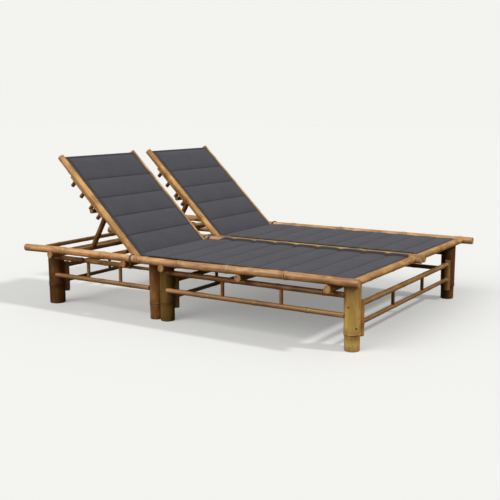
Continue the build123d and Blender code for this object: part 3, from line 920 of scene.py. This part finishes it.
def make_back_poles(side):
    for kind, (pole_y, nodes) in BACK_POLES.items():
        y = SIDES[side] * pole_y
        pole = culm(f"culm_{kind}_pole_{side}", on_back(-POLE_R, y, 0), on_back(POLE_TOP, y, 0),
                    POLE_R - UNDER, HONEY, nodes, rise=POLE_RISE, sides=26, sawn=(True, True))
        place(pole, "backrest_" + side, "bamboo_rail", f"backrest_{kind}_pole_{side}")


def make_back_canes(side):
    low, high = SIDES[side] * (INNER_POLE_Y + BUTT), SIDES[side] * (OUTER_POLE_Y - BUTT)
    canes = []
    for index in range(CANES):
        t = FIRST_BACK_CANE + index * BACK_CANE_STEP
        name = f"culm_back_cane_{side}_{index}"
        canes.append(culm(name, on_back(t, low, 0), on_back(t, high, 0), CANE_R - UNDER_MORE, STRAW,
                          spread(name, *BACK_CANE_SPREAD), rise=CANE_RISE, sides=14))
    place(join(canes, f"culm_back_canes_{side}"), "backrest_" + side, "bamboo_cane",
          "backrest_canes_" + side)


def make_racks(side):
    """A thin bar with four pegs under each pole of a backrest."""
    racks = []
    for kind in ("inner", "outer"):
        y = SIDES[side] * BACK_POLES[kind][0]
        racks.append(culm(f"culm_rack_{kind}_{side}", on_back(RACK_FROM, y, RACK_N),
                          on_back(RACK_TO, y, RACK_N), RACK_R, HONEY, (0.1, 0.22), sides=14,
                          sawn=(True, True)))
        for index, t in enumerate(PEG_AT, start=1):
            racks.append(culm(f"culm_peg_{kind}_{side}_{index}", on_back(t, y, RACK_N - PEG_BELOW),
                              on_back(t, y, PEG_TIP_N), PEG_R, BROWN, sides=16, sawn=(False, True)))
    place(join(racks, f"culm_peg_racks_{side}"), "backrest_" + side, "bamboo_cane", "peg_rack_" + side)


def make_strut(side):
    """The bar that lies in a notch of the racks, and the two legs that stand on the axle bar."""
    sign = SIDES[side]
    low, high = sign * (INNER_POLE_Y - STRUT_BAR_OVER), sign * (OUTER_POLE_Y + STRUT_BAR_OVER)
    bar = culm(f"culm_strut_bar_{side}", on_back(STRUT_BAR_AT, low, STRUT_BAR_N),
               on_back(STRUT_BAR_AT, high, STRUT_BAR_N), STRUT_BAR_R, DARK_BROWN, (0.14, 0.4),
               sawn=(True, True))
    place(bar, "strut_" + side, "bamboo_bar", "strut_bar_" + side)
    legs = []
    for kind, y in (("inner", INNER_POLE_Y + STRUT_LEG_IN), ("outer", OUTER_POLE_Y - STRUT_LEG_IN)):
        top = on_back(STRUT_BAR_AT, sign * y, STRUT_BAR_N)
        foot = Vector((AXLE_X, sign * y, AXLE_Z))
        run = (foot - top).normalized()
        legs.append(culm(f"culm_strut_leg_{kind}_{side}", top + run * STRUT_TOP_GAP,
                         foot - run * STRUT_FOOT_GAP, STRUT_LEG_R, BROWN, (0.07, 0.17), sides=22,
                         sawn=(False, True)))
    place(join(legs, f"culm_strut_legs_{side}"), "strut_" + side, "bamboo_bar", "strut_legs_" + side)


def make_backrests():
    for side in SIDES:
        make_back_poles(side)
        make_back_canes(side)
        make_racks(side)
        make_strut(side)


# The quilted pads are first laid out flat: s runs from the hinge fold to the foot end, and below zero
# up the backrest
PAD_FLOOR_Z = 0.3163
FOLD_X = -0.2595
SEAT_END = 1.1783
BACK_END = -0.6758
SEAMS = [-0.5068, -0.3788, -0.2508, -0.1228, 0.0] + [0.1763 + 0.128 * index for index in range(8)]
BORDER = 0.014
SEWN_LINES = [BACK_END + BORDER, *SEAMS, SEAT_END - BORDER]
CROSS_LINES = [BACK_END, *SEWN_LINES, SEAT_END]
SEAT_HALF = 0.3195
BACK_HALF = 0.271
SEAT_MIDDLE = 0.3497
BACK_MIDDLE = BAY_Y
FIELD = 1 - BORDER / SEAT_HALF      # share of the half width that lies inside the border
SEAT_DRAW = 0.009                   # how far a seam draws in the sides of the seat
BACK_DRAW = 0.002                   # and those of the back
DRAW_WIDTH = 0.010
PAD_EDGE = 0.006
PUFF = 0.0145
CELL = 0.0093
INNER_COLUMNS = 60
SEAM_SEEN = 0.02                    # distance from a seam beyond which the look needs no measure

# The cloth simulation that fills the pads
PRESSURE = 60
CLOTH_MASS = 0.05
CLOTH_STRETCH = 2
CLOTH_SHEAR = 1
CLOTH_BEND = 0.3
CLOTH_QUALITY = 4
LAST_FRAME = 20
MOST_ALONG = 0.003
MOST_ACROSS = 0.004

# How the edges lie on the rails: how much wider the pad is there, and how far it rises
EDGE_ON_RAIL = {"near": (0.013, 0.0125), "far": (-0.010, 0.0), "middle": (0.0, 0.0165)}
EDGE_FROM_S = 0.06
EDGE_OVER_S = 0.06
RISE_FROM_Y = 0.2945
RISE_OVER_Y = 0.022
WIDER_FROM_Y = 0.27
WIDER_OVER_Y = 0.04


def on_seat(s):
    """Share of the seat's width and middle that the pad has at s, from 0 on the backrest to 1."""
    return smooth((s + 0.01) / 0.13)


def pad_half(s):
    """Half the width of the pad at s, drawn in at each seam."""
    half = BACK_HALF + (SEAT_HALF - BACK_HALF) * on_seat(s)
    for seam in SEAMS:
        half -= (SEAT_DRAW if seam > 0 else BACK_DRAW) * math.exp(-abs(s - seam) / DRAW_WIDTH)
    return half


def pad_rows():
    """Where the rows of the pad's net lie along it, with one on each sewn line."""
    rows = [CROSS_LINES[0]]
    for a, b in zip(CROSS_LINES, CROSS_LINES[1:]):
        steps = max(2, round((b - a) / CELL))
        rows += [a + (b - a) * index / steps for index in range(1, steps + 1)]
    return rows


def pad_columns():
    """Shares of the half width, with one more column in the middle of each border strip."""
    middle = [-FIELD + 2 * FIELD * index / INNER_COLUMNS for index in range(INNER_COLUMNS + 1)]
    edge = (1 + FIELD) / 2
    return [-1, -edge, *middle, edge, 1]


def is_sewn(s, share):
    return min(abs(s - line) for line in CROSS_LINES) < 1e-4 or abs(abs(share) - FIELD) < 1e-4


def flat_pad():
    """The pad as it is sewn: two layers that meet in a thin edge."""
    rows, columns = pad_rows(), pad_columns()
    deselect()
    bpy.ops.mesh.primitive_grid_add(x_subdivisions=len(columns) - 1, y_subdivisions=len(rows) - 1, size=1)
    pad = bpy.context.object
    places = [(s, share) for s in rows for share in columns]
    for vertex, (s, share) in zip(pad.data.vertices, places):
        vertex.co = (s, -share * pad_half(s), 0)
    sewn = pad.vertex_groups.new(name="sewn")
    sewn.add([index for index, (s, share) in enumerate(places) if is_sewn(s, share)], 1.0, "REPLACE")
    wall = pad.modifiers.new("two_layers", "SOLIDIFY")
    wall.thickness = PAD_EDGE
    wall.offset = 1
    apply_modifier(pad, wall)
    return pad


def blow_up(pad):
    """Fills the pad between its seams by a cloth simulation, its underside held flat on the canes."""
    rest = [vertex.co.copy() for vertex in pad.data.vertices]
    held = pad.vertex_groups["sewn"]
    held.add([index for index, point in enumerate(rest) if point.z < PAD_EDGE / 2], 1.0, "REPLACE")
    cloth = pad.modifiers.new("filling", "CLOTH")
    settings = cloth.settings
    settings.vertex_group_mass = "sewn"
    settings.use_pressure = True
    settings.uniform_pressure_force = PRESSURE
    settings.mass = CLOTH_MASS
    settings.tension_stiffness = settings.compression_stiffness = CLOTH_STRETCH
    settings.shear_stiffness = CLOTH_SHEAR
    settings.bending_stiffness = CLOTH_BEND
    settings.effector_weights.gravity = 0
    settings.quality = CLOTH_QUALITY
    scene = bpy.context.scene
    for number in range(1, LAST_FRAME + 1):
        scene.frame_set(number)
    apply_modifier(pad, cloth)
    scene.frame_set(1)
    for vertex, was in zip(pad.data.vertices, rest):
        move = vertex.co - was
        vertex.co.x = was.x + max(min(move.x, MOST_ALONG), -MOST_ALONG)
        vertex.co.y = was.y + max(min(move.y, MOST_ACROSS), -MOST_ACROSS)
        vertex.co.z = was.z + PUFF * math.tanh(max(move.z, 0) / PUFF)


def lean(s):
    """The lean of what stands up from the pad at s, from upright on the seat to square on the backrest."""
    return BACK_ANGLE * (1 - smooth((s + 0.05) / 0.10))


def laid(s, height, y):
    """Where a point of the flat pad lies on the bed."""
    up = Vector((math.sin(lean(s)), 0, math.cos(lean(s))))
    run = Vector((1, 0, 0)) if s > 0 else Vector((math.cos(BACK_ANGLE), 0, -math.sin(BACK_ANGLE)))
    return Vector((FOLD_X, y, PAD_FLOOR_Z)) + run * s + up * height


def sewn_gap(s, y):
    """Distance to the nearest line of stitches, and the place along it."""
    across = min((abs(s - line), y) for line in SEWN_LINES)
    beside = (abs(abs(y) - (pad_half(s) - BORDER)), s)
    return min(across, beside)


def lay_pad(flat, side):
    """Lays a copy of the flat pad on one side of the bed, bent at the fold, its edges on the rails."""
    sign = SIDES[side]
    choose(flat)
    bpy.ops.object.duplicate()
    pad = bpy.context.object
    pad.name = f"quilted_pad_{side}"
    flats, seams = [], []
    for vertex in pad.data.vertices:
        s, y, height = vertex.co
        gap, run = sewn_gap(s, y)
        flats += [s, y, height]
        # the third seam value marks the border strip, which the cover's material darkens as painted shade
        in_border_shade = abs(y) > pad_half(s) - BORDER or s < SEWN_LINES[0] or s > SEWN_LINES[-1]
        seams += [min(gap, SEAM_SEEN), run, float(in_border_shade)]
        middle = SEAT_MIDDLE + (BACK_MIDDLE - SEAT_MIDDLE) * (1 - on_seat(s))
        wider, rise = EDGE_ON_RAIL[side] if sign * y > 0 else EDGE_ON_RAIL["middle"]
        edge = smooth((s - EDGE_FROM_S) / EDGE_OVER_S)
        height += rise * smooth((abs(y) - RISE_FROM_Y) / RISE_OVER_Y) * edge
        y += sign * wider * smooth((abs(y) - WIDER_FROM_Y) / WIDER_OVER_Y) * edge
        vertex.co = laid(s, height, sign * middle + y)
    store(pad.data, "flat", flats)
    store(pad.data, "seam", seams)
    pad.data.materials.append(FABRIC)
    bpy.ops.object.shade_smooth()
    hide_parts("seat_pad_" + side, "back_pad_" + side)
    y = sign * SEAT_MIDDLE
    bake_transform(pad)


def make_pads():
    flat = flat_pad()
    blow_up(flat)
    finer = flat.modifiers.new("finer", "SUBSURF")
    finer.levels = finer.render_levels = 1
    apply_modifier(flat, finer)
    for side in SIDES:
        lay_pad(flat, side)
    bpy.data.objects.remove(flat)


# Tie cords wound round the rails beside the hinge
TIE_R = 0.00175
TIE_REACH = RAIL_R + 0.0013 + TIE_R
TIE_PITCH = 0.005
TIE_CORNERS = 8         # points of the route in one turn
TIE_START_RISE = 0.003  # height of a cord's start above the rail centres
TIE_TAIL = 0.005        # how far a tail hangs below the winding
TIE_TAIL_OUT = 0.001
TIE_FOOT_SIDE = -0.263
TIE_HEAD_SIDE = -0.291
TIE_NEAR_AT = -0.26     # where the near rail's droop is taken for its cord


def tie_route(middle_y, apart, from_x, turns, sign, tilt=0.0, drop=0.0):
    """Points of a cord round one rail, or round two whose centres lie apart from the middle."""
    corner = TIE_REACH / math.cos(math.pi / TIE_CORNERS)
    route = [(from_x, middle_y - sign * (apart + TIE_REACH), RAIL_Z + TIE_START_RISE)]
    for index in range(TIE_CORNERS * turns + TIE_CORNERS // 2):
        angle = math.pi - (index + 0.5) * 2 * math.pi / TIE_CORNERS
        shift = math.copysign(apart, math.cos(angle))
        x = from_x + TIE_PITCH * (index + 0.5) / TIE_CORNERS
        y = middle_y + sign * (shift + corner * math.cos(angle))
        route.append((x, y, RAIL_Z + corner * math.sin(angle)))
    tail_y = middle_y + sign * (apart + TIE_REACH + TIE_TAIL_OUT)
    route.append((route[-1][0], tail_y, RAIL_Z - TIE_REACH - TIE_TAIL))
    return [(x + tilt * (y - middle_y) / TIE_REACH, y, z - drop) for x, y, z in route]


def tie(name, route):
    """One cord along its route, round and capped."""
    data = bpy.data.curves.new(name, "CURVE")
    data.dimensions = "3D"
    spline = data.splines.new("NURBS")
    spline.points.add(len(route) - 1)
    for point, at in zip(spline.points, route):
        point.co = (*at, 1)
    spline.order_u = 3
    spline.use_endpoint_u = True
    spline.resolution_u = 6
    data.bevel_depth = TIE_R
    data.bevel_resolution = 3
    data.use_fill_caps = True
    cord = bpy.data.objects.new(name, data)
    bpy.context.scene.collection.objects.link(cord)
    data.materials.append(TIE)
    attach(cord, "base")
    return cord


def make_ties():
    near_route = tie_route(-RAIL_Y, 0, TIE_FOOT_SIDE, 1, -1, 0.002, droop(TIE_NEAR_AT))
    near = tie("tie_near_rail", near_route)
    tie("tie_far_rail", tie_route(RAIL_Y, 0, TIE_FOOT_SIDE, 1, 1, 0.006))
    tie("tie_middle_foot_side", tie_route(0, CENTRE_Y, TIE_FOOT_SIDE, 2, 1))
    tie("tie_middle_head_side", tie_route(0, CENTRE_Y, TIE_HEAD_SIDE, 1, 1))
    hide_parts("pad_ties")


make_rails()
make_beams()
make_legs()
make_side_bars()
make_ladders()
make_seat_canes()
make_backrests()
make_pads()
make_ties()

for name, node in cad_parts.items():
    node.data.materials.clear()
    node.data.materials.append(FABRIC if "_pad_" in name else STEEL)
